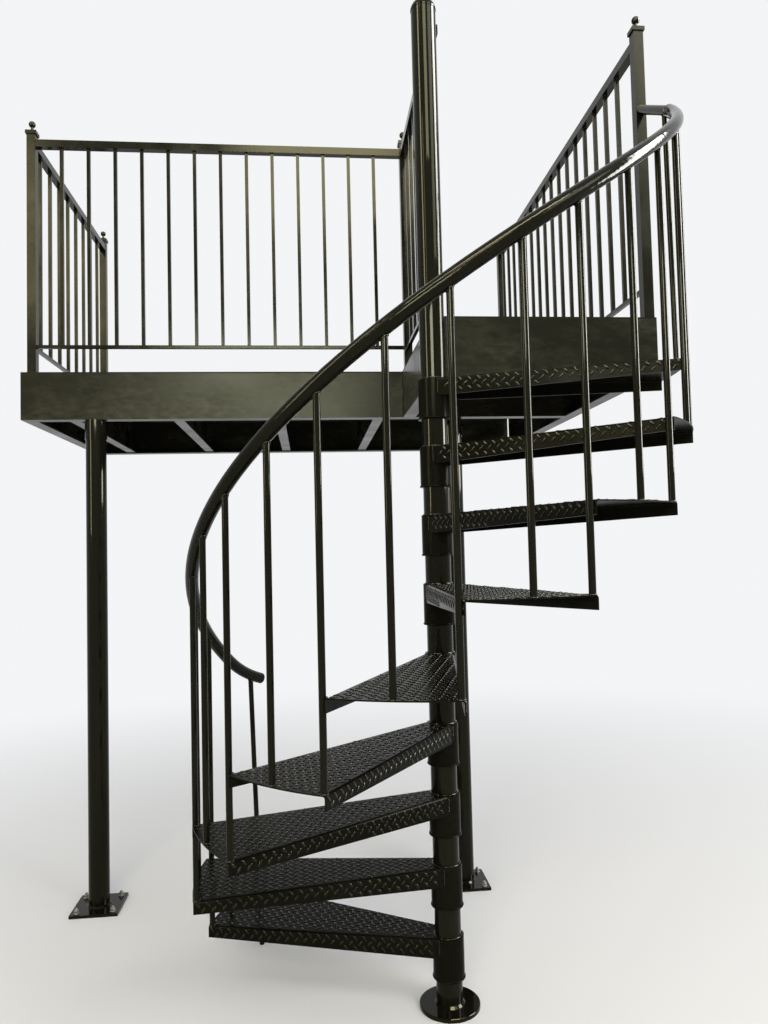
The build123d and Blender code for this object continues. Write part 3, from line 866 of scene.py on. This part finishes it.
class STAIR_OT_add_frame_welds(bpy.types.Operator):
    """Adds the beads where the beams meet each other and the column, and the spots of the guard rails"""

    bl_idname = "stair.add_frame_welds"
    bl_label = "Add Frame Welds"

    def execute(self, context):
        stair = context.scene.stair_sizes
        bead = context.scene.weld_sizes.bead
        stand_off = STAND_OFF * bead
        beam_low, beam_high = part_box("front_beam")
        side_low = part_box("landing_side_beam")[0]
        fascia_low, fascia_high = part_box("landing_fascia")
        # up the corner of the front beam and the landing's side beam, and up the fascia's end at the column
        corner = (side_low.x - stand_off, beam_low.y - stand_off)
        end = (math.sqrt(stair.pipe_radius**2 - fascia_low.y**2), fascia_low.y - stand_off)
        fascia_foot = TREAD_TOPS[-1] + 2 * bead
        rows = [
            weld_row("corner_bead", (*corner, beam_low.z + 2 * bead), (*corner, beam_high.z - bead), bead),
            weld_row("fascia_bead", (*end, fascia_foot), (*end, fascia_high.z - bead), SLIM_BEAD * bead),
        ]
        spots = []
        for name in frame["nodes"]:
            if name.startswith("guard_post_"):
                rows += self.foot_square(name, FINE_BEAD * bead)
            if name.startswith("guard_panel_"):
                spots += self.bar_spots(name)
        finish_welds(rows, "frame_welds", "beam_enamel")
        finish_welds(spots, "guard_welds", "guard_enamel")
        return {"FINISHED"}

    def foot_square(self, post, radius):
        """Four beads round the foot of a guard post."""
        foot = foot_points(post)
        low, high = foot.min(axis=0).tolist(), foot.max(axis=0).tolist()
        ends = [(low[0], low[1]), (high[0], low[1]), (high[0], high[1]), (low[0], high[1])]
        # sunk in the deck by most of its radius
        level = DECK_TOP + 0.2 * radius
        rows = []
        for index, end in enumerate(ends):
            following = ends[(index + 1) % len(ends)]
            rows.append(weld_row("post_bead", (*end, level), (*following, level), radius))
        return rows

    def bar_spots(self, panel):
        """Flattened spots at both ends of each bar, found from the bars' corners under the top tube."""
        points = node_points(panel)
        low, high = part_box(panel)
        size = high - low
        middle = (low + high) / 2
        along = 0 if size.x > size.y else 1
        across = 1 - along
        tube = size[across]
        underside = high.z - tube
        near = abs(points[:, 2] - underside) < TOUCH / 2
        # nearer to the middle line than the tube's own corners
        inside = abs(points[:, across] - middle[across]) < 0.3 * tube
        marks = np.unique(points[near & inside][:, along].round(4))
        spots = []
        # corners come in pairs, one on either side of a bar
        for first, second in zip(marks[:-1], marks[1:]):
            bar = float(second - first)
            if bar > tube:
                continue
            at = middle.copy()
            at[along] = float(first + second) / 2
            for level in (underside, low.z + bar):
                spot = weld_spot("bar_weld", BAR_SPOT * bar, BAR_SPOT_FORM)
                spots.append(place(spot, (at.x, at.y, level)))
        return spots


# Anchor nuts

# Height of the washer, and of the nut and the stud over it
WASHER = 0.0025
NUT = 0.0108
STUD = 0.018
# Widths of the washer and the stud, as shares of the nut's
WASHER_WIDTH = 1.35
STUD_WIDTH = 0.6
# Chamfer on the edges of all three
CHAMFER = 0.0008


class STAIR_OT_add_anchor_nuts(bpy.types.Operator):
    """Adds washer, nut and stud to every anchor hole of the two posts"""

    bl_idname = "stair.add_anchor_nuts"
    bl_label = "Add Anchor Nuts"

    def execute(self, context):
        weld = context.scene.weld_sizes
        foot_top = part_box("post_foot_plates")[1].z
        nuts = []
        for post in ("support_post_left", "support_post_right"):
            low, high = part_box(post)
            middle = (low + high) / 2
            for side_x in (-0.5, 0.5):
                for side_y in (-0.5, 0.5):
                    x = middle.x + side_x * weld.anchor_pitch
                    y = middle.y + side_y * weld.anchor_pitch
                    nuts.append(self.anchor(Vector((x, y, foot_top)), weld.nut_width))
        hand_over(join(nuts, "anchor_nuts"), "column_enamel", "anchor_zinc")
        return {"FINISHED"}

    def anchor(self, at, width):
        """Stack of a washer, a hexagon nut and the end of the stud."""
        layers = []
        for sides, across, low, high in (
            (24, WASHER_WIDTH * width, 0.0, WASHER),
            (6, 2 / math.sqrt(3) * width, WASHER, WASHER + NUT),
            (16, STUD_WIDTH * width, WASHER + NUT, WASHER + STUD),
        ):
            start_fresh()
            centre = at + Vector((0, 0, (low + high) / 2))
            bpy.ops.mesh.primitive_cylinder_add(
                vertices=sides, radius=across / 2, depth=high - low, location=centre
            )
            layer = new_piece("anchor_layer")
            bevel = layer.modifiers.new("edge", "BEVEL")
            bevel.width = CHAMFER
            bevel.segments = 1
            layers.append(settle(layer))
        return join(layers, "anchor")


# Stage

# Height of the frame in pixels, and of the camera's sensor in millimetres
FRAME_HEIGHT = 1024
SENSOR_HEIGHT = 36.0
# Lamps and panels: name, place, aim, width, height, power, colour
KEY_LAMP = ("key", (4.5, -4.5, 6.5), (0, 0.3, 1.4), 3.0, 3.0, 240, (1, 1, 1))
FRONT_SOFTBOX = ("front_softbox", (-1.4, -5.4, 3.5), (-0.6, 0.6, 2.2), 2.7, 2.4, 200, (1, 0.95, 0.76))
REFLECTED_PANELS = (
    ("side_panel", (6.5, -0.3, 5.3), (0, 0, 2.5), 2.6, 6.4, 2200, (1, 1, 1)),
    ("left_panel", (-5.5, -3.0, 4.6), (0, 0, 2.2), 1.0, 6.0, 480, (1, 0.92, 0.72)),
    ("sky_panel", (-0.5, -4.5, 8.5), (-0.3, 0, 2), 8.0, 1.2, 1400, (1, 0.92, 0.72)),
    ("rail_panel", (-0.1, -5.0, 6.6), (0, 0.9, 3.4), 2.2, 2.0, 250, (1, 0.93, 0.76)),
    ("beam_panel", (-0.9, -5.0, 3.5), (-0.7, 0.9, 2.3), 2.1, 0.9, 230, (0.92, 0.96, 1)),
    ("post_panel", (-3.3, -3.8, 4.9), (-1.6, 0.9, 2.9), 0.35, 1.8, 28, (1, 0.9, 0.66)),
)


def studio_floor(name, stage):
    """Pale floor that keeps the object's shadow, and takes the backdrop's tone further away."""
    material = fresh_material(name)
    tree = material.node_tree
    shader = tree.nodes["Principled BSDF"]
    shader.inputs["Base Color"].default_value = stage.floor_colour
    shader.inputs["Roughness"].default_value = 0.9
    where = add_node(tree, "ShaderNodeTexCoord", (-900, 200))
    away = add_node(tree, "ShaderNodeVectorMath", (-700, 200), operation="LENGTH")
    tree.links.new(where.outputs["Object"], away.inputs[0])
    fade = add_range(
        tree, (-500, 200), away.outputs["Value"], interpolation_type="SMOOTHSTEP",
        From_Min=stage.fade_start, From_Max=stage.fade_end,
    )
    seen = seen_rays(tree, (-900, 500))
    share = add_math(tree, "MULTIPLY", (-250, 300), fade.outputs["Result"], seen)
    glow = add_node(tree, "ShaderNodeEmission", (0, -300), Color=stage.backdrop, Strength=1.0)
    mix = add_node(tree, "ShaderNodeMixShader", (350, 100))
    tree.links.new(share, mix.inputs[0])
    tree.links.new(shader.outputs[0], mix.inputs[1])
    tree.links.new(glow.outputs[0], mix.inputs[2])
    tree.links.new(mix.outputs[0], tree.nodes["Material Output"].inputs["Surface"])
    return material


def seen_rays(tree, place):
    """Socket that is 1 for rays of the camera, of reflections and of glass, and 0 for lighting."""
    rays = add_node(tree, "ShaderNodeLightPath", place).outputs
    seen = add_math(tree, "MAXIMUM", (place[0] + 200, place[1]), rays["Is Camera Ray"], rays["Is Glossy Ray"])
    return add_math(tree, "MAXIMUM", (place[0] + 400, place[1]), seen, rays["Is Transmission Ray"])


def add_lamp(name, place, target, width, height, power, colour):
    """Rectangular lamp that points from its place at its target."""
    lamp = bpy.data.lights.new(name, "AREA")
    lamp.energy = power
    lamp.color = colour
    lamp.shape = "RECTANGLE"
    lamp.size = width
    lamp.size_y = height
    obj = bpy.data.objects.new(name, lamp)
    bpy.context.scene.collection.objects.link(obj)
    obj.location = place
    obj.rotation_euler = (Vector(target) - Vector(place)).to_track_quat("-Z", "Y").to_euler()
    return obj


class STAIR_OT_set_stage(bpy.types.Operator):
    """Sets the camera, the floor and the studio lamps"""

    bl_idname = "stair.set_stage"
    bl_label = "Set the Stage"

    def execute(self, context):
        stage = context.scene.stage_sizes
        self.add_camera(stage)
        start_fresh()
        bpy.ops.mesh.primitive_plane_add(size=stage.floor_size)
        floor = new_piece("studio_floor")
        floor.data.materials.append(studio_floor("studio_floor", stage))
        world = bpy.data.worlds.new("studio")
        context.scene.world = world
        world.use_nodes = True
        self.light_world(world.node_tree, stage)
        add_lamp(*KEY_LAMP)
        # the softbox only lights surfaces, and the panels only show as reflections in the enamel
        add_lamp(*FRONT_SOFTBOX).visible_glossy = False
        for panel in REFLECTED_PANELS:
            add_lamp(*panel).visible_diffuse = False
        context.scene.view_settings.view_transform = "Standard"
        return {"FINISHED"}

    def add_camera(self, stage):
        """Camera at the photograph's place, turned by yaw, pitch and roll."""
        facing = math.cos(stage.pitch)
        ahead = Vector((math.sin(stage.yaw) * facing, math.cos(stage.yaw) * facing, math.sin(stage.pitch)))
        level = Vector((math.cos(stage.yaw), -math.sin(stage.yaw), 0))
        above = level.cross(ahead)
        right = level * math.cos(stage.roll) + above * math.sin(stage.roll)
        up = above * math.cos(stage.roll) - level * math.sin(stage.roll)
        camera = bpy.data.cameras.new("camera")
        camera.sensor_fit = "VERTICAL"
        camera.sensor_height = SENSOR_HEIGHT
        camera.lens = stage.focal / FRAME_HEIGHT * SENSOR_HEIGHT
        camera.clip_end = 200.0
        obj = bpy.data.objects.new("camera", camera)
        bpy.context.scene.collection.objects.link(obj)
        turn = Matrix((right, up, -ahead)).transposed().to_4x4()
        obj.matrix_world = Matrix.Translation(stage.eye) @ turn
        bpy.context.scene.camera = obj

    def light_world(self, tree, stage):
        """Even light for surfaces, and a pale backdrop for the camera and for reflections."""
        tree.nodes.clear()
        out = add_node(tree, "ShaderNodeOutputWorld", (600, 0))
        even = add_node(tree, "ShaderNodeBackground", (50, 0), Color=stage.sky, Strength=stage.sky_strength)
        pale = add_node(tree, "ShaderNodeBackground", (50, -200), Color=stage.backdrop, Strength=1.0)
        mix = add_node(tree, "ShaderNodeMixShader", (350, 0))
        tree.links.new(seen_rays(tree, (-400, 300)), mix.inputs[0])
        tree.links.new(even.outputs[0], mix.inputs[1])
        tree.links.new(pale.outputs[0], mix.inputs[2])
        tree.links.new(mix.outputs[0], out.inputs["Surface"])


class STAIR_PT_finish(bpy.types.Panel):
    """Lists the steps that dress the stair"""

    bl_label = "Spiral Stair Finish"
    bl_idname = "STAIR_PT_finish"
    bl_space_type = "VIEW_3D"
    bl_region_type = "UI"
    bl_category = "Stair"

    def draw(self, context):
        for step in STEPS:
            self.layout.operator(step.bl_idname)


SETTINGS = {
    "stair_sizes": StairSizes,
    "plate_sizes": PlateSizes,
    "weld_sizes": WeldSizes,
    "enamel_colours": EnamelColours,
    "stage_sizes": StageSizes,
}
STEPS = (
    STAIR_OT_set_stage,
    STAIR_OT_paint_steel,
    STAIR_OT_add_tread_lugs,
    STAIR_OT_add_deck_lugs,
    STAIR_OT_add_column_welds,
    STAIR_OT_add_baluster_welds,
    STAIR_OT_add_frame_welds,
    STAIR_OT_add_anchor_nuts,
)
CLASSES = (*SETTINGS.values(), *STEPS, STAIR_PT_finish)


def register():
    for cls in CLASSES:
        bpy.utils.register_class(cls)
    for name, group in SETTINGS.items():
        setattr(bpy.types.Scene, name, PointerProperty(type=group))


def unregister():
    for name in SETTINGS:
        delattr(bpy.types.Scene, name)
    for cls in reversed(CLASSES):
        bpy.utils.unregister_class(cls)


def main():
    """Dresses the stair."""
    register()
    bpy.ops.stair.set_stage()
    bpy.ops.stair.paint_steel()
    bpy.ops.stair.add_tread_lugs()
    bpy.ops.stair.add_deck_lugs()
    bpy.ops.stair.add_column_welds()
    bpy.ops.stair.add_baluster_welds()
    bpy.ops.stair.add_frame_welds()
    bpy.ops.stair.add_anchor_nuts()


if __name__ == "__main__":
    main()
